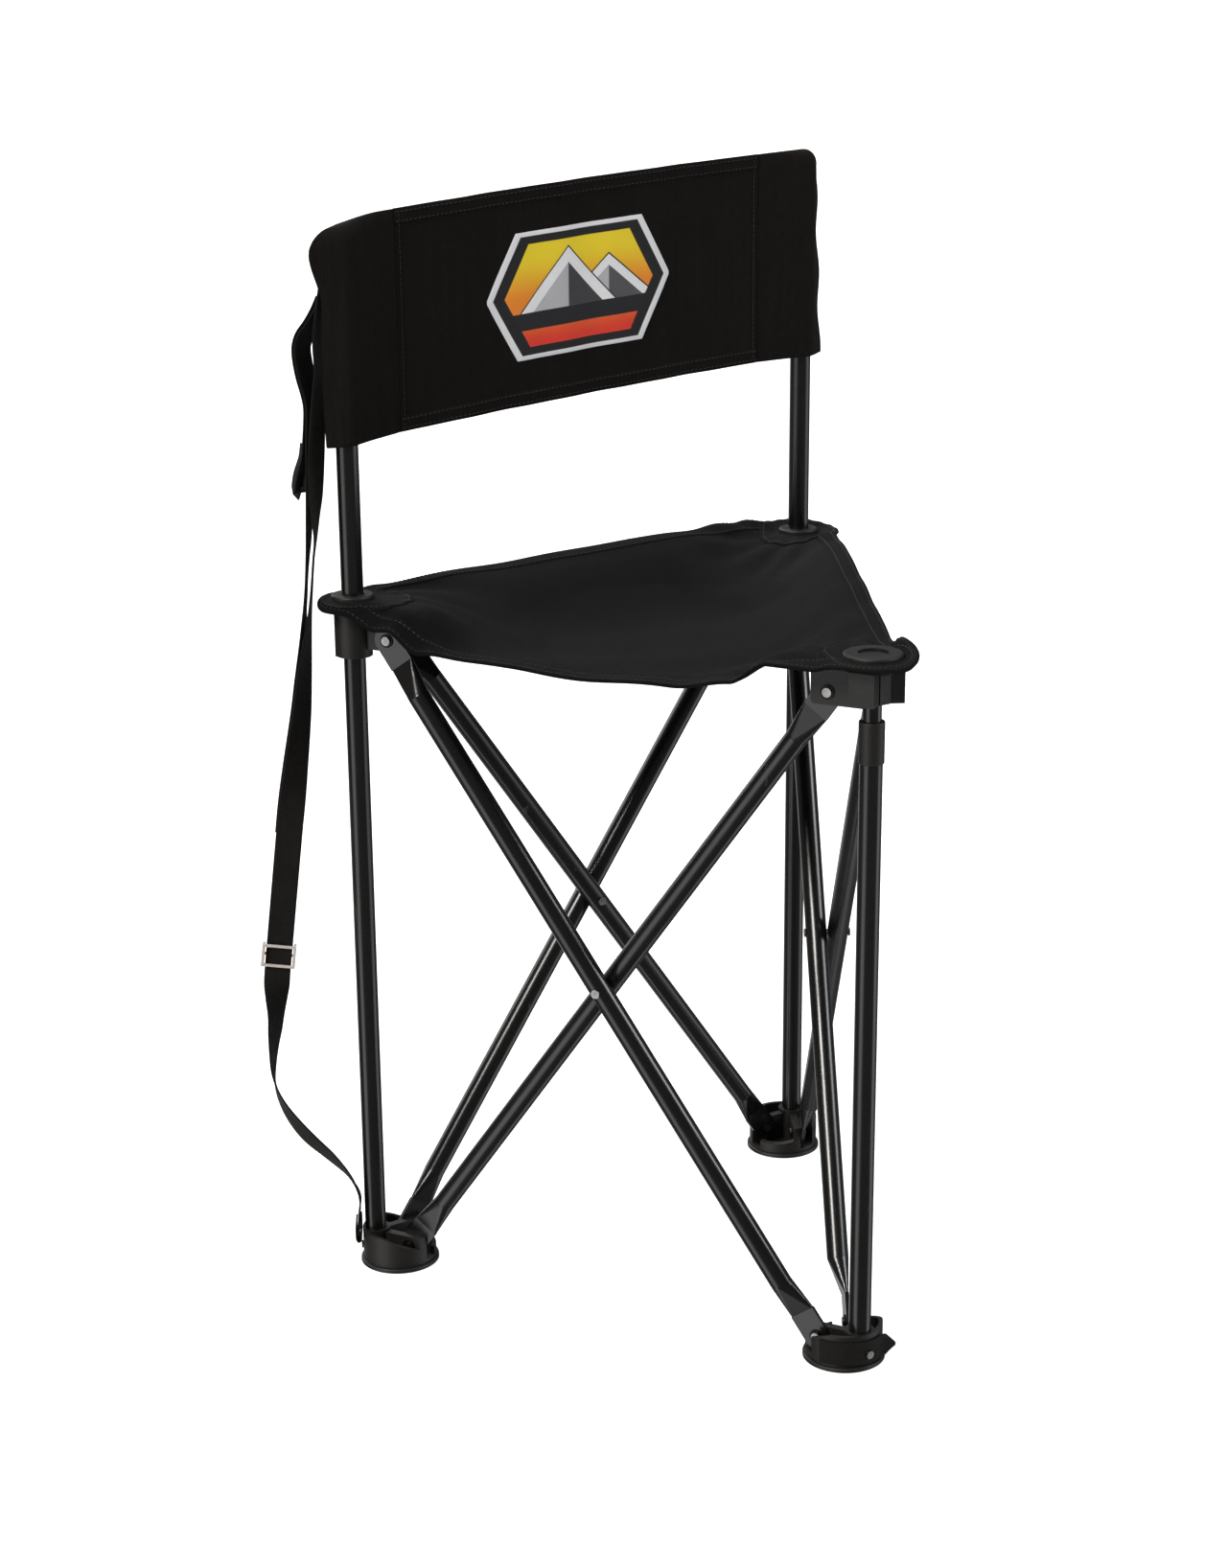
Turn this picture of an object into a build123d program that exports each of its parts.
"""Folding three-leg stool: three vertical legs joined by scissor braces, a sling seat, a backrest
between the two rear legs and a carry strap on the left rear leg. Millimetres, +Z up.

The origin is the centre of the front foot's sole. The sitter faces -Y, and +X is on the right of
someone looking at the front. The legs stand at the corners of an equilateral triangle. Its sides
are named left (left leg to front leg), right (front leg to right leg) and rear (right leg to left
leg), so each side starts at one leg, its first, and ends at the next one anticlockwise, its second.
Each side has two crossed tubes: the outer one runs from the first leg's collar down to the second
leg's foot, and the inner one from the second leg's collar down to the first leg's foot.
"""

from math import atan2, cos, degrees, radians, sin, sqrt
import os

from build123d import *

# ---- driving dimensions ----
LEG_SPACING = 402.0  # between neighbouring leg axes
TUBE_D = 16.0
TUBE_WALL = 1.2
PIVOT_OFFSET = 31.0  # from a leg's axis to a brace pivot, along the side
FOOT_PIVOT_Z = 17.5
COLLAR_PIVOT_Z = 497.0
UPRIGHT_TOP = 780.0
BACKREST_BOTTOM, BACKREST_TOP = 650.0, 807.0
FABRIC_Z = 521.1  # underside of the seat cloth at the corners
CLOTH = 2.7  # thickness of a doubled cloth edge

# ---- legs ----
LEG_FOOT_GAP = 4.0  # a leg's lower end above the floor
FRONT_LOWER_TOP = 468.0
BUSH_BOTTOM, BUSH_TOP, BUSH_R = 450.5, 480.0, 9.0
FRONT_UPPER_R = 6.6
FRONT_UPPER_BOTTOM, FRONT_UPPER_TOP = 300.0, 519.0

# ---- braces ----
BRACE_OFFSET = 8.2  # a brace's axis from the plane through two legs
TAB_WIDTH, TAB_T = 20.0, 3.0  # the flattened end
TAB_NEAR = 3.1  # from the leg plane to the flattened end
TAB_LENGTH, NECK_LENGTH = 20.0, 26.0  # flat stretch past the pivot, then the change to a round tube

# ---- rivets ----
RIVET_R, RIVET_HOLE_R = 2.5, 2.55
HEAD_R, HEAD_T = 3.3, 1.2
WASHER_R, WASHER_T = 5.0, 0.8
GAP = 0.1  # between stacked faces

# ---- collars ----
HUB_R, HUB_BOTTOM, HUB_TOP = 13.3, 482.0, 521.0
FRONT_HUB_BOTTOM = 494.0
WING_T, WING_LENGTH = 6.0, 43.5
WING_BOTTOM, WING_TOP = 488.0, 514.0
HUB_RIB_T, HUB_RIB_WIDTH = 5.0, 9.0  # the rib on a hub's outer side
FRONT_FLANGE_R, FRONT_FLANGE_T = 20.0, 5.0
SHOULDER_REACH, SHOULDER_WIDTH, SHOULDER_TOP = 20.5, 18.0, 517.0  # the front hub's square shoulders
SLIDE_BORE_R = 8.15
SEAT_RING_R, SEAT_RING_T = 15.5, 3.6
CAP_R, CAP_T = 20.5, 3.4
CAP_DISH_R, CAP_DISH_FLOOR = 10.5, 1.4
CAP_PLUG_LENGTH = 20.0

# ---- feet ----
FOOT_R, FOOT_FLANGE_T = 30.0, 3.0
FOOT_WALL_R, FOOT_WALL_T, FOOT_TOP = 28.0, 3.0, 27.0
FOOT_INSET = 18.0  # the foot's centre from its leg's axis, towards the middle of the stool
RIM_SLOPE_START, RIM_LOW = -5.0, 11.0  # the wall's rim slopes down from here to its inner side
SOCKET_R = 11.0
FOOT_WING_TOP = 25.0
TAB_SLOT_BEHIND, TAB_SLOT_LENGTH = 7.0, 36.0  # the opening in the cup for a flattened tube end
TAB_SLOT_FLOOR, TAB_SLOT_WIDTH = 6.0, 11.0
PIN_R, PIN_HOLE_R, PIN_Z = 1.5, 1.55, 12.0
PIN_DEPTH, PIN_HEAD_T = 6.0, 1.2

# ---- cloth ----
CORNER_R = 30.0
CORNER_INNER_R, CORNER_REACH = 22.0, 16.0
HEM_OUTSIDE = 24.0  # the hems from the lines between the leg axes
POCKET_R, POCKET_BORE_R = 9.9, 8.4
POCKET_OUTBOARD, POCKET_INBOARD = 16.0, 44.0
POCKET_EDGE_R = 1.4
CLOTH_GAP = 0.6

# ---- webbing ----
STRAP_WIDTH, STRAP_T = 19.5, 1.6
WRAP_GAP = 0.3  # between the front foot's wall and the webbing round it
WRAP_BOTTOM, WRAP_WIDTH = 5.0, 18.0
WRAP_START, WRAP_TURN = -75.0, 97.0
TAIL_ALONG, TAIL_OUT = 10.5, 5.7  # how far the wrap's loose end curls on and outward
STRAP_END_OUT, STRAP_END_Z = 13.0, 23.0  # the strap's lower end, outside the left foot
LOOP_T, LOOP_HALF_GAP = 1.4, 1.8  # the folded webbing that the strap's end is sewn into
LOOP_FOLD_Z, LOOP_INNER_TOP, LOOP_OUTER_TOP = 18.6, 35.0, 33.0
SLIDER_Z = 252.0
SLIDER_W, SLIDER_H, SLIDER_BAR_R = 23.0, 15.5, 1.15
SLIDER_LIP = 0.4  # how far the slider's ends stand past its bars

TUBE_R = TUBE_D / 2
BORE_R = TUBE_R - TUBE_WALL
LEG_CIRCLE_R = LEG_SPACING / sqrt(3)
SIDE_DISTANCE = LEG_CIRCLE_R / 2  # from the middle of the stool to the plane through two legs
MIDDLE = Vector(0, LEG_CIRCLE_R - FOOT_INSET, 0)
LEG_ANGLES = {"left": 150.0, "front": 270.0, "right": 30.0}
SIDE_OF_FIRST_LEG = {"left": "left", "front": "right", "right": "rear"}
SIDE_ANGLES = {SIDE_OF_FIRST_LEG[leg]: angle + 60 for leg, angle in LEG_ANGLES.items()}
PIVOT_X = LEG_SPACING / 2 - PIVOT_OFFSET
PIVOT_RISE = COLLAR_PIVOT_Z - FOOT_PIVOT_Z
BRACE_LENGTH = sqrt((2 * PIVOT_X) ** 2 + PIVOT_RISE**2)
CROSSING_Z = (COLLAR_PIVOT_Z + FOOT_PIVOT_Z) / 2


def radial(angle):
    """The horizontal unit vector at an angle from +X."""
    return Vector(cos(radians(angle)), sin(radians(angle)), 0)


def leg_plane(leg, height=0.0):
    """Horizontal plane centred on a leg's axis, with its X pointing out of the stool."""
    outward = radial(LEG_ANGLES[leg])
    origin = MIDDLE + outward * LEG_CIRCLE_R + Vector(0, 0, height)
    return Plane(origin=origin, x_dir=outward, z_dir=(0, 0, 1))


def side_plane(side):
    """Upright plane through two legs: X runs from the first to the second, Y is up, Z is outward."""
    outward = radial(SIDE_ANGLES[side])
    along = radial(SIDE_ANGLES[side] + 90)
    return Plane(origin=MIDDLE + outward * SIDE_DISTANCE, x_dir=along, z_dir=outward)


def leg_sides(leg):
    """The two sides that meet at a leg, as (side, end): end is -1 on the side the leg starts."""
    first = SIDE_OF_FIRST_LEG[leg]
    before = {"right": "left", "rear": "right", "left": "rear"}[first]
    return [(first, -1), (before, 1)]


def save(builder, label):
    """Label a finished piece and write its STEP file."""
    builder.part.label = label
    export_step(builder.part, f"parts/{label}.step")


def make_tube(leg, outer_r, bore_r, bottom, top, pin_hole):
    """Upright tube on a leg's axis, with a hole for the foot's pin on its outer side."""
    with BuildPart() as tube:
        with BuildSketch(leg_plane(leg, bottom)):
            Circle(outer_r)
            Circle(bore_r, mode=Mode.SUBTRACT)
        extrude(amount=top - bottom)
        if pin_hole:
            with BuildSketch(pin_plane(leg)):
                Circle(PIN_HOLE_R)
            extrude(amount=-TUBE_D, mode=Mode.SUBTRACT)
    return tube


def pin_plane(leg):
    """Upright plane across the outer side of a leg, at the height of its foot's pin."""
    base = leg_plane(leg, PIN_Z)
    outer_wall = FOOT_WALL_R - FOOT_INSET
    return Plane(origin=base.origin + base.x_dir * outer_wall, x_dir=(0, 0, 1), z_dir=base.x_dir)


def make_brace(side, ring):
    """Crossed tube with flattened ends. ring is 1 for the outer tube and -1 for the inner one."""
    base = side_plane(side)
    foot_pivot = base.origin + base.x_dir * (ring * PIVOT_X) + Vector(0, 0, FOOT_PIVOT_Z)
    uphill = (base.x_dir * (-ring * 2 * PIVOT_X) + Vector(0, 0, PIVOT_RISE)).normalized()
    outward = base.z_dir * ring
    flat_plane = Plane(origin=foot_pivot, x_dir=uphill, z_dir=outward)
    neck_end = TAB_LENGTH + NECK_LENGTH
    with BuildPart() as brace:
        for start, direction in ((0, 1), (BRACE_LENGTH, -1)):
            with BuildSketch(flat_plane.offset(TAB_NEAR)):
                with Locations((start, 0)):
                    Circle(TAB_WIDTH / 2)
                with Locations((start + direction * TAB_LENGTH / 2, 0)):
                    Rectangle(TAB_LENGTH, TAB_WIDTH)
            extrude(amount=TAB_T)
            flat_end = foot_pivot + uphill * (start + direction * TAB_LENGTH)
            round_end = foot_pivot + uphill * (start + direction * neck_end)
            tab_middle = outward * (TAB_NEAR + TAB_T / 2)
            with BuildSketch(Plane(origin=flat_end + tab_middle, x_dir=outward, z_dir=uphill)):
                RectangleRounded(TAB_T, TAB_WIDTH, TAB_T / 2 - 0.05)
            tube_middle = outward * BRACE_OFFSET
            with BuildSketch(Plane(origin=round_end + tube_middle, x_dir=outward, z_dir=uphill)):
                RectangleRounded(TUBE_D, TUBE_D, TUBE_R - 0.05)
            loft()
        neck_plane = Plane(
            origin=foot_pivot + uphill * neck_end + outward * BRACE_OFFSET,
            x_dir=outward,
            z_dir=uphill,
        )
        round_length = BRACE_LENGTH - 2 * neck_end
        with BuildSketch(neck_plane):
            Circle(TUBE_R)
        extrude(amount=round_length)
        with BuildSketch(neck_plane):
            Circle(BORE_R)
        extrude(amount=round_length, mode=Mode.SUBTRACT)
        with BuildSketch(flat_plane):
            with Locations((0, 0), (BRACE_LENGTH / 2, 0), (BRACE_LENGTH, 0)):
                Circle(RIVET_HOLE_R)
        extrude(amount=BRACE_OFFSET + TUBE_D, mode=Mode.SUBTRACT)
    return brace


def make_foot(leg):
    """Round plastic foot: a flanged cup with a socket for the leg and a web for each brace pivot."""
    floor_plane = leg_plane(leg)
    centre = (-FOOT_INSET, 0)
    with BuildPart() as foot:
        with BuildSketch(floor_plane):
            with Locations(centre):
                Circle(FOOT_R)
        extrude(amount=FOOT_FLANGE_T)
        fillet(foot.edges().sort_by(Axis.Z)[-1], 1.2)
        with BuildSketch(floor_plane.offset(FOOT_FLANGE_T)):
            with Locations(centre):
                Circle(FOOT_WALL_R)
                Circle(FOOT_WALL_R - FOOT_WALL_T, mode=Mode.SUBTRACT)
        extrude(amount=FOOT_TOP - FOOT_FLANGE_T)
        inner_side = -FOOT_INSET - FOOT_WALL_R
        upright = Plane(origin=floor_plane.origin, x_dir=floor_plane.x_dir, z_dir=-floor_plane.y_dir)
        with BuildSketch(upright):
            Polygon(
                (RIM_SLOPE_START, FOOT_TOP + 1),
                (RIM_SLOPE_START, FOOT_TOP),
                (inner_side, RIM_LOW),
                (inner_side - 1, RIM_LOW),
                (inner_side - 1, FOOT_TOP + 1),
                align=None,
            )
        extrude(amount=FOOT_R, both=True, mode=Mode.SUBTRACT)
        with BuildSketch(floor_plane.offset(FOOT_FLANGE_T)):
            Circle(SOCKET_R)
            with Locations(centre):
                Circle(FOOT_WALL_R, mode=Mode.INTERSECT)
        extrude(amount=FOOT_TOP - FOOT_FLANGE_T)
        with BuildSketch(floor_plane.offset(FOOT_FLANGE_T)):
            for turn in (-1, 1):
                with Locations(Rotation(0, 0, 180 + turn * 30) * Pos(FOOT_R, 0, 0)):
                    Rectangle(2 * FOOT_R, WING_T)
            with Locations(centre):
                Circle(FOOT_WALL_R, mode=Mode.INTERSECT)
        extrude(amount=FOOT_WING_TOP - FOOT_FLANGE_T)
        for side, end in leg_sides(leg):
            base = side_plane(side)
            with BuildSketch(base.offset(end * WING_T / 2)):
                slot_x = PIVOT_X + TAB_SLOT_BEHIND - TAB_SLOT_LENGTH / 2
                with Locations((end * slot_x, FOOT_TOP)):
                    Rectangle(TAB_SLOT_LENGTH, 2 * (FOOT_TOP - TAB_SLOT_FLOOR))
            extrude(amount=end * TAB_SLOT_WIDTH, mode=Mode.SUBTRACT)
            with BuildSketch(base.offset(-WING_T)):
                with Locations((end * PIVOT_X, FOOT_PIVOT_Z)):
                    Circle(RIVET_HOLE_R)
            extrude(amount=2 * WING_T, mode=Mode.SUBTRACT)
        with BuildSketch(floor_plane.offset(LEG_FOOT_GAP)):
            Circle(TUBE_R + 0.05)
        extrude(amount=FOOT_TOP, mode=Mode.SUBTRACT)
        with BuildSketch(pin_plane(leg)):
            Circle(PIN_HOLE_R)
        extrude(amount=-TUBE_R, mode=Mode.SUBTRACT)
    return foot


def make_foot_pin(leg, head_lift):
    """Headed pin through the foot's outer wall into the leg. The head stands off by head_lift."""
    with BuildPart() as pin:
        with BuildSketch(pin_plane(leg).offset(-PIN_DEPTH)):
            Circle(PIN_R)
        extrude(amount=PIN_DEPTH + head_lift)
        with BuildSketch(pin_plane(leg).offset(head_lift)):
            Circle(2 * PIN_R)
        extrude(amount=PIN_HEAD_T)
    return pin


def make_rivets(planes, low, high):
    """Rivets along the planes' normals, headed at both ends. The heads start at low and high."""
    stretches = ((low - HEAD_T, HEAD_T, HEAD_R), (low, high - low, RIVET_R), (high, HEAD_T, HEAD_R))
    with BuildPart() as rivets:
        for plane in planes:
            for start, length, radius in stretches:
                with BuildSketch(plane.offset(start)):
                    Circle(radius)
                extrude(amount=length)
    return rivets


def make_washers(planes, heights):
    """Flat washers standing on each plane at each height."""
    with BuildPart() as washers:
        for plane in planes:
            for height in heights:
                with BuildSketch(plane.offset(height)):
                    Circle(WASHER_R)
                    Circle(RIVET_HOLE_R, mode=Mode.SUBTRACT)
                extrude(amount=WASHER_T)
    return washers


def pivot_planes(leg, height, tab_side):
    """Planes on a leg's two pivots, with Z towards the brace that hangs on each.

    tab_side is 1 where a brace lies outside the web on the side that the leg starts, as at the
    collars, and -1 where it lies inside, as at the feet.
    """
    planes = []
    for side, end in leg_sides(leg):
        base = side_plane(side)
        pivot = base.origin + base.x_dir * (end * PIVOT_X) + Vector(0, 0, height)
        facing = base.z_dir * (-end * tab_side)
        planes.append(Plane(origin=pivot, x_dir=(0, 0, 1), z_dir=facing))
    return planes


def make_pivot_rivets(planes):
    """A rivet through the web, the flattened tube end and a washer on either side, on each plane."""
    low = -(WING_T / 2 + WASHER_T + 2 * GAP)
    high = TAB_NEAR + TAB_T + WASHER_T + 2 * GAP
    return make_rivets(planes, low, high)


def make_pivot_washers(planes):
    """The two washers of each pivot."""
    return make_washers(planes, (-(WING_T / 2 + GAP + WASHER_T), TAB_NEAR + TAB_T + GAP))


def make_crossing_rivet(side):
    """Rivet through both tubes of a side where they cross."""
    base = side_plane(side)
    plane = Plane(origin=base.origin + Vector(0, 0, CROSSING_Z), x_dir=base.x_dir, z_dir=base.z_dir)
    reach = BRACE_OFFSET + TUBE_R + GAP
    return make_rivets([plane], -reach, reach)


def make_collar(leg, bore_r):
    """Plastic collar at seat height: a hub with a web towards each neighbouring leg."""
    hub_bottom = FRONT_HUB_BOTTOM if leg == "front" else HUB_BOTTOM
    with BuildPart() as collar:
        with BuildSketch(leg_plane(leg, hub_bottom)):
            Circle(HUB_R)
            with Locations((HUB_R - 2, 0)):
                Rectangle(HUB_RIB_T, HUB_RIB_WIDTH)
        extrude(amount=HUB_TOP - hub_bottom)
        if leg == "front":
            with BuildSketch(leg_plane(leg, HUB_TOP - FRONT_FLANGE_T)):
                Circle(FRONT_FLANGE_R)
            extrude(amount=FRONT_FLANGE_T)
            with BuildSketch(leg_plane(leg, hub_bottom)):
                for turn in (-60, 60):
                    with Locations(Rotation(0, 0, turn) * Pos(SHOULDER_REACH / 2, 0, 0)):
                        Rectangle(SHOULDER_REACH, SHOULDER_WIDTH)
            extrude(amount=SHOULDER_TOP - hub_bottom)
        for side, end in leg_sides(leg):
            base = side_plane(side)
            with BuildSketch(base.offset(-WING_T / 2)):
                middle_x = end * (LEG_SPACING - WING_LENGTH) / 2
                with Locations((middle_x, (WING_TOP + WING_BOTTOM) / 2)):
                    RectangleRounded(WING_LENGTH, WING_TOP - WING_BOTTOM, 3.5)
            extrude(amount=WING_T)
            with BuildSketch(base.offset(-WING_T)):
                with Locations((end * PIVOT_X, COLLAR_PIVOT_Z)):
                    Circle(RIVET_HOLE_R)
            extrude(amount=2 * WING_T, mode=Mode.SUBTRACT)
        with BuildSketch(leg_plane(leg, HUB_BOTTOM)):
            Circle(bore_r)
        extrude(amount=HUB_TOP - HUB_BOTTOM, mode=Mode.SUBTRACT)
    return collar


def make_seat_ring(leg):
    """Moulded ring that clamps the seat's corner round an upright."""
    with BuildPart() as ring:
        with BuildSketch(leg_plane(leg, FABRIC_Z + CLOTH + GAP)):
            Circle(SEAT_RING_R)
            Circle(SLIDE_BORE_R + 0.2, mode=Mode.SUBTRACT)
        extrude(amount=SEAT_RING_T)
        fillet(ring.edges().group_by(Axis.Z)[-1].sort_by(SortBy.RADIUS)[-1], 1.6)
    return ring


def make_front_cap():
    """Dished cap over the front collar, with a plug that enters the upper front tube."""
    cap_bottom = FABRIC_Z + CLOTH + GAP
    with BuildPart() as cap:
        with BuildSketch(leg_plane("front", cap_bottom)):
            Circle(CAP_R)
        extrude(amount=CAP_T)
        fillet(cap.edges().group_by(Axis.Z)[-1], 1.8)
        with BuildSketch(leg_plane("front", cap_bottom + CAP_DISH_FLOOR)):
            Circle(CAP_DISH_R)
        extrude(amount=CAP_T, mode=Mode.SUBTRACT)
        with BuildSketch(leg_plane("front", cap_bottom)):
            Circle(FRONT_UPPER_R - TUBE_WALL - GAP)
        extrude(amount=-CAP_PLUG_LENGTH)
    return cap


def corner_outline(leg, grow):
    """Sketch geometry of a seat corner's doubled patch, grown by an amount."""
    Circle(CORNER_R + grow)
    with Locations((-CORNER_REACH, 0)):
        Circle(CORNER_INNER_R + grow)
    make_hull()


def make_seat_corner(leg, hole_r):
    """Doubled cloth patch at a corner of the seat."""
    with BuildPart() as corner:
        with BuildSketch(leg_plane(leg, FABRIC_Z)):
            corner_outline(leg, 0)
            Circle(hole_r, mode=Mode.SUBTRACT)
        extrude(amount=CLOTH)
    return corner


def make_seat_panel():
    """Main cloth of the seat: a triangle that ends at the three doubled corners."""
    corners = [leg_plane(leg).origin for leg in LEG_ANGLES]
    with BuildPart() as panel:
        with BuildSketch(Plane.XY.offset(FABRIC_Z)):
            with Locations(*[(point.X, point.Y) for point in corners]):
                Circle(HEM_OUTSIDE)
            make_hull()
        extrude(amount=CLOTH)
        for leg in LEG_ANGLES:
            with BuildSketch(leg_plane(leg, FABRIC_Z)):
                corner_outline(leg, CLOTH_GAP)
            extrude(amount=CLOTH, mode=Mode.SUBTRACT)
    return panel


def make_pocket(leg, inboard):
    """Cloth sleeve of the backrest round an upright, closed at the top. inboard is -1 or 1 in X."""
    axis = leg_plane(leg).origin
    with BuildPart() as pocket:
        with BuildSketch(Plane(origin=(axis.X, axis.Y, BACKREST_BOTTOM), z_dir=(0, 0, 1))):
            Circle(POCKET_R)
            with Locations((-inboard * (POCKET_OUTBOARD - POCKET_EDGE_R), 0)):
                Circle(POCKET_EDGE_R)
            with Locations((inboard * (POCKET_INBOARD - POCKET_EDGE_R), 0)):
                Circle(POCKET_EDGE_R)
            make_hull()
        extrude(amount=BACKREST_TOP - BACKREST_BOTTOM)
        with BuildSketch(Plane(origin=(axis.X, axis.Y, BACKREST_BOTTOM), z_dir=(0, 0, 1))):
            Circle(POCKET_BORE_R)
        extrude(amount=BACKREST_TOP - BACKREST_BOTTOM - 3.0, mode=Mode.SUBTRACT)
    return pocket


def strap_plane(offset=0.0):
    """Upright plane through the left leg: X points out of the stool, Y is up."""
    base = leg_plane("left")
    across = base.x_dir.cross(Vector(0, 0, 1))
    return Plane(origin=base.origin + across * offset, x_dir=base.x_dir, z_dir=across)


def lean_direction(lean):
    """Direction down a strap in the strap plane that leans outward from straight down, in degrees."""
    return (sin(radians(lean)), -cos(radians(lean)))


def make_band(points, leans):
    """Webbing along a smooth curve in the strap plane, with its width across that plane.

    points are (distance out of the leg, height) pairs, and leans are the slopes at the two ends.
    """
    with BuildPart() as webbing:
        with BuildSketch(strap_plane(-STRAP_WIDTH / 2)):
            with BuildLine() as path:
                Spline(*points, tangents=[lean_direction(lean) for lean in leans])
            trace(path.edges(), line_width=STRAP_T)
        extrude(amount=STRAP_WIDTH)
    return webbing


def make_twist(stations):
    """Webbing that turns about its own line. Stations are (distance, height, lean, turn)."""
    flat = strap_plane()
    with BuildPart() as webbing:
        for distance, height, lean, turn in stations:
            out, up = lean_direction(lean)
            downward = flat.x_dir * out + flat.y_dir * up
            origin = flat.from_local_coords((distance, height))
            section = Plane(origin=origin, x_dir=flat.z_dir, z_dir=downward)
            with BuildSketch(section.rotated((0, 0, turn))):
                Rectangle(STRAP_WIDTH, STRAP_T)
        loft()
    return webbing


os.makedirs("parts", exist_ok=True)

# ---- legs and feet ----
for leg_name in LEG_ANGLES:
    save(make_foot(leg_name), f"foot_{leg_name}")
    pin_lift = WRAP_GAP + STRAP_T + GAP if leg_name == "front" else GAP
    save(make_foot_pin(leg_name, pin_lift), f"foot_pin_{leg_name}")
    foot_pivots = pivot_planes(leg_name, FOOT_PIVOT_Z, -1)
    save(make_pivot_rivets(foot_pivots), f"foot_rivets_{leg_name}")
    save(make_pivot_washers(foot_pivots), f"foot_washers_{leg_name}")

for leg_name in ("left", "right"):
    upright = make_tube(leg_name, TUBE_R, BORE_R, LEG_FOOT_GAP, UPRIGHT_TOP, True)
    save(upright, f"upright_{leg_name}")
    with BuildPart() as plug:
        with BuildSketch(leg_plane(leg_name, UPRIGHT_TOP - 15)):
            Circle(BORE_R - GAP)
        extrude(amount=15)
        with BuildSketch(leg_plane(leg_name, UPRIGHT_TOP)):
            Circle(TUBE_R)
        extrude(amount=3)
        fillet(plug.edges().group_by(Axis.Z)[-1], 1.5)
    save(plug, f"upright_plug_{leg_name}")

save(make_tube("front", TUBE_R, BORE_R, LEG_FOOT_GAP, FRONT_LOWER_TOP, True), "front_tube_lower")
front_upper = make_tube(
    "front",
    FRONT_UPPER_R,
    FRONT_UPPER_R - TUBE_WALL,
    FRONT_UPPER_BOTTOM,
    FRONT_UPPER_TOP,
    False,
)
save(front_upper, "front_tube_upper")

with BuildPart() as bush:
    with BuildSketch(leg_plane("front", BUSH_BOTTOM)):
        Circle(BUSH_R)
    extrude(amount=BUSH_TOP - BUSH_BOTTOM)
    fillet(bush.edges(), 0.8)
    with BuildSketch(leg_plane("front", BUSH_BOTTOM)):
        Circle(TUBE_R + 0.05)
    extrude(amount=FRONT_LOWER_TOP + GAP - BUSH_BOTTOM, mode=Mode.SUBTRACT)
    with BuildSketch(leg_plane("front", BUSH_BOTTOM)):
        Circle(FRONT_UPPER_R + 0.1)
    extrude(amount=BUSH_TOP - BUSH_BOTTOM, mode=Mode.SUBTRACT)
save(bush, "front_tube_bush")

# ---- braces ----
for side_name in SIDE_ANGLES:
    save(make_brace(side_name, 1), f"brace_{side_name}_outer")
    save(make_brace(side_name, -1), f"brace_{side_name}_inner")
    save(make_crossing_rivet(side_name), f"crossing_rivet_{side_name}")

# ---- collars and what they clamp ----
for leg_name in LEG_ANGLES:
    is_front = leg_name == "front"
    collar_bore = FRONT_UPPER_R + 0.05 if is_front else SLIDE_BORE_R
    save(make_collar(leg_name, collar_bore), f"collar_{leg_name}")
    collar_pivots = pivot_planes(leg_name, COLLAR_PIVOT_Z, 1)
    save(make_pivot_rivets(collar_pivots), f"collar_rivets_{leg_name}")
    save(make_pivot_washers(collar_pivots), f"collar_washers_{leg_name}")
    corner_hole = FRONT_UPPER_R if is_front else SLIDE_BORE_R + 0.25
    save(make_seat_corner(leg_name, corner_hole), f"seat_corner_{leg_name}")

for leg_name in ("left", "right"):
    save(make_seat_ring(leg_name), f"seat_ring_{leg_name}")
save(make_front_cap(), "seat_cap_front")

# ---- cloth ----
save(make_seat_panel(), "seat_panel")
save(make_pocket("left", 1), "backrest_pocket_left")
save(make_pocket("right", -1), "backrest_pocket_right")

panel_half = LEG_SPACING / 2 - POCKET_INBOARD - CLOTH_GAP
panel_y = leg_plane("left").origin.Y
with BuildPart() as backrest:
    with BuildSketch(Plane.XY.offset(BACKREST_BOTTOM)):
        with Locations((0, panel_y)):
            Rectangle(2 * panel_half, CLOTH)
    extrude(amount=BACKREST_TOP - BACKREST_BOTTOM)
save(backrest, "backrest_panel")

# ---- webbing ----
slider_start, slider_end = Vector(52.5, 350.0), Vector(66.8, 235.0)
slide_run = slider_end - slider_start
slide_lean = degrees(atan2(slide_run.X, -slide_run.Y))
twist_top, top_lean = (40.2, 438.0), 7.0
twist_bottom, bottom_lean = (72.3, 158.0), -4.0
upper_points = [(19.0, 745.0), (26.5, 690.0), (33.0, 640.0), (33.0, 580.0), (34.5, 510.0), twist_top]
lower_points = [twist_bottom, (66.8, 131.6), (47.8, 102.0), (20.0, 71.0), (STRAP_END_OUT, 42.0)]
end_points = [(STRAP_END_OUT, 42.0), (STRAP_END_OUT, STRAP_END_Z)]
upper_twist = [
    (*twist_top, top_lean, 0),
    (46.2, 394.0, slide_lean, 45),
    (slider_start.X, slider_start.Y, slide_lean, 90),
]
lower_twist = [
    (slider_end.X, slider_end.Y, slide_lean, 90),
    (70.3, 197.0, 4.0, 45),
    (*twist_bottom, bottom_lean, 0),
]
straight = [(point.X, point.Y, slide_lean, 90) for point in (slider_start, slider_end)]
with BuildPart() as strap:
    add(make_band(upper_points, (0, top_lean)).part)
    for stretch in (upper_twist, straight, lower_twist):
        add(make_twist(stretch).part)
    add(make_band(lower_points, (bottom_lean, 0)).part)
    add(make_band(end_points, (0, 0)).part)
save(strap, "carry_strap")

tail_points = [(29.5, 700.0), (35.5, 655.0), (37.0, 610.0), (36.5, 580.0)]
save(make_band(tail_points, (10, 0)), "strap_tail")

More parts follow.
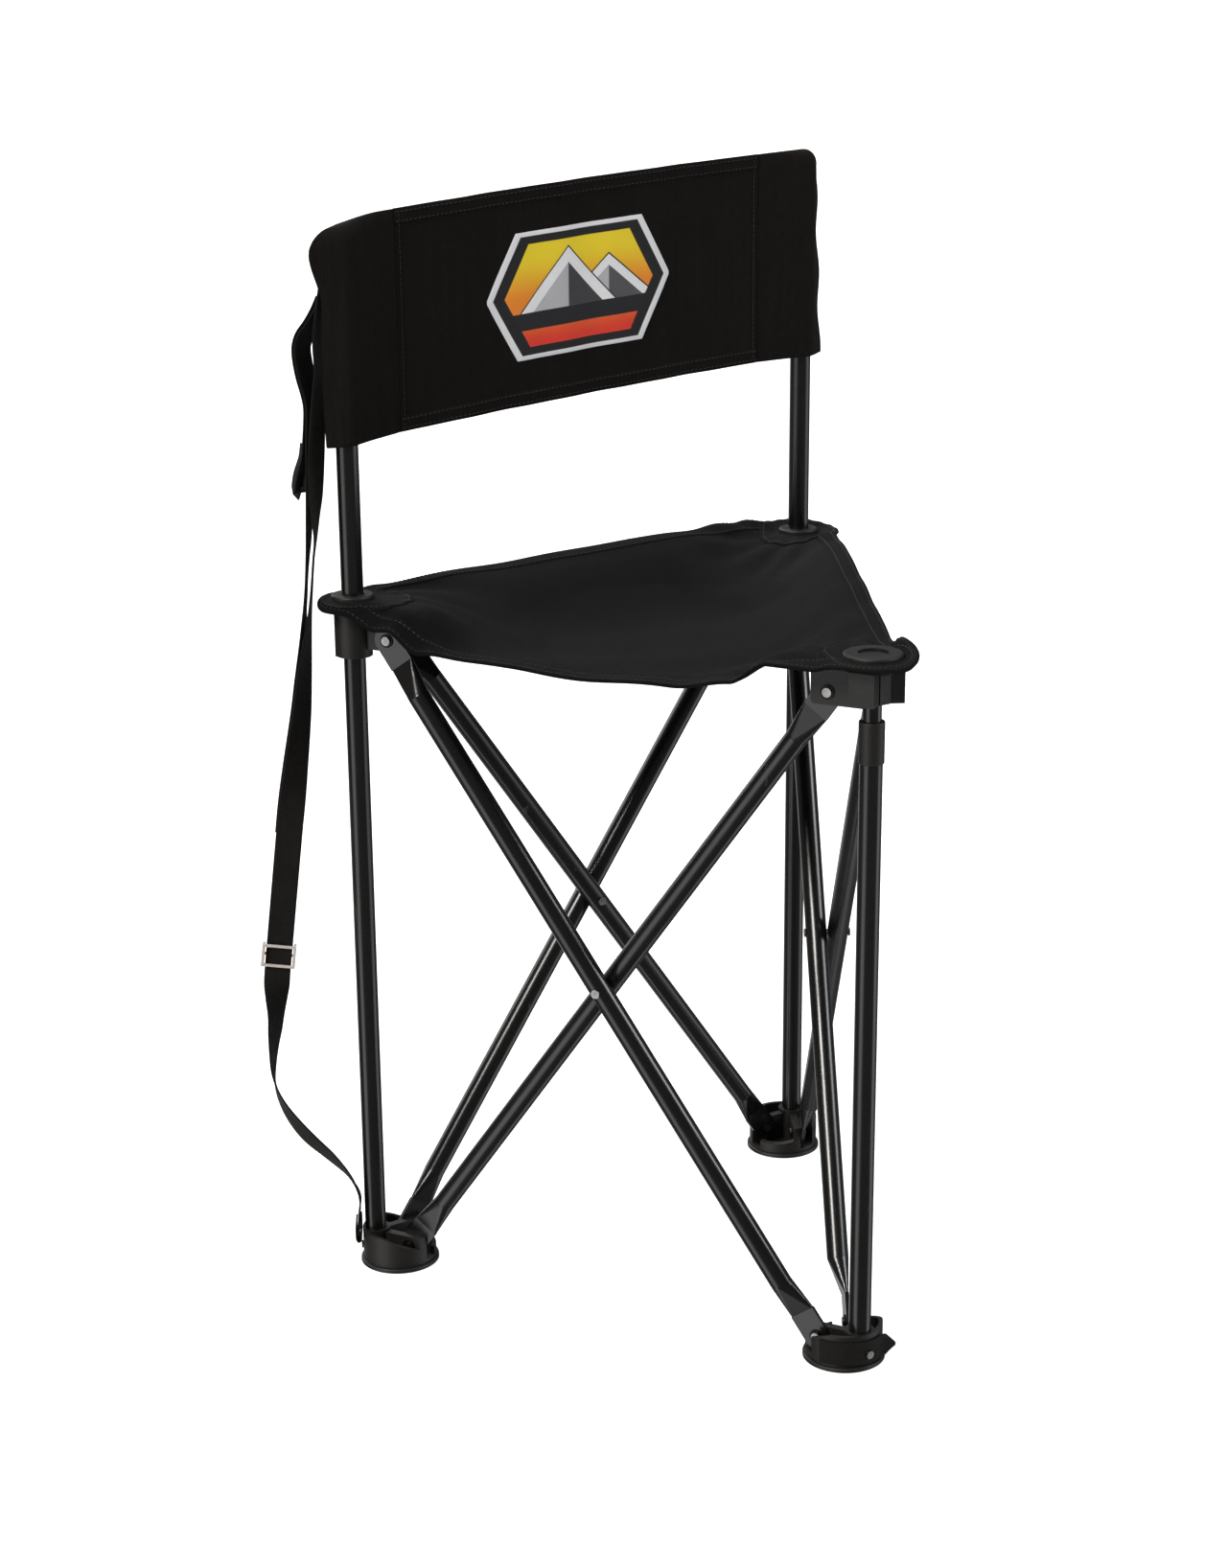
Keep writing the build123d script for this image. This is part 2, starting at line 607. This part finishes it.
slide_fraction = (slider_start.Y - SLIDER_Z) / (slider_start.Y - slider_end.Y)
flat_strap = strap_plane()
slider_origin = flat_strap.from_local_coords(slider_start + slide_run * slide_fraction)
downhill = (flat_strap.x_dir * slide_run.X + flat_strap.y_dir * slide_run.Y).normalized()
slider_face = flat_strap.z_dir * -1
slider_plane = Plane(origin=slider_origin, x_dir=downhill.cross(slider_face), z_dir=slider_face)
with BuildPart() as slider:
    bar_lift = STRAP_T / 2 + SLIDER_BAR_R + 0.2
    for bar_y, bar_z in ((-SLIDER_H / 2, bar_lift), (0.0, -bar_lift), (SLIDER_H / 2, bar_lift)):
        bar_origin = slider_plane.from_local_coords((-SLIDER_W / 2, bar_y, bar_z))
        with BuildSketch(Plane(origin=bar_origin, z_dir=slider_plane.x_dir)):
            Circle(SLIDER_BAR_R)
        extrude(amount=SLIDER_W)
    for edge_x in (-SLIDER_W / 2, SLIDER_W / 2):
        end_origin = slider_plane.from_local_coords((edge_x - SLIDER_BAR_R, 0, 0))
        with BuildSketch(Plane(origin=end_origin, x_dir=slider_plane.y_dir, z_dir=slider_plane.x_dir)):
            RectangleRounded(
                SLIDER_H + 2 * SLIDER_BAR_R + SLIDER_LIP,
                2 * (bar_lift + SLIDER_BAR_R) + SLIDER_LIP,
                SLIDER_BAR_R,
            )
        extrude(amount=2 * SLIDER_BAR_R)
save(slider, "strap_slider")

with BuildPart() as foot_loop:
    with BuildSketch(strap_plane(-STRAP_WIDTH / 2)):
        with BuildLine() as fold_line:
            inner_x, outer_x = STRAP_END_OUT - LOOP_HALF_GAP, STRAP_END_OUT + LOOP_HALF_GAP
            Line((inner_x, LOOP_INNER_TOP), (inner_x, LOOP_FOLD_Z))
            CenterArc((STRAP_END_OUT, LOOP_FOLD_Z), LOOP_HALF_GAP, 180, 180)
            Line((outer_x, LOOP_FOLD_Z), (outer_x, LOOP_OUTER_TOP))
        trace(fold_line.edges(), line_width=LOOP_T)
    extrude(amount=STRAP_WIDTH)
save(foot_loop, "foot_strap_loop")

with BuildPart() as closure_strap:
    with BuildSketch(leg_plane("front", WRAP_BOTTOM)):
        with BuildLine() as wrap_line:
            wrap_r = FOOT_WALL_R + WRAP_GAP + STRAP_T / 2
            wrap = CenterArc((-FOOT_INSET, 0), wrap_r, WRAP_START, WRAP_TURN)
            outward = ((wrap @ 1) - Vector(-FOOT_INSET, 0)).normalized()
            tail_end = (wrap @ 1) + (wrap % 1) * TAIL_ALONG + outward * TAIL_OUT
            TangentArc(wrap @ 1, tail_end, tangent=wrap % 1)
        trace(wrap_line.edges(), line_width=STRAP_T)
    extrude(amount=WRAP_WIDTH)
    with BuildSketch(pin_plane("front")):
        Circle(PIN_HOLE_R)
    extrude(amount=2 * STRAP_T, mode=Mode.SUBTRACT)
save(closure_strap, "closure_strap")
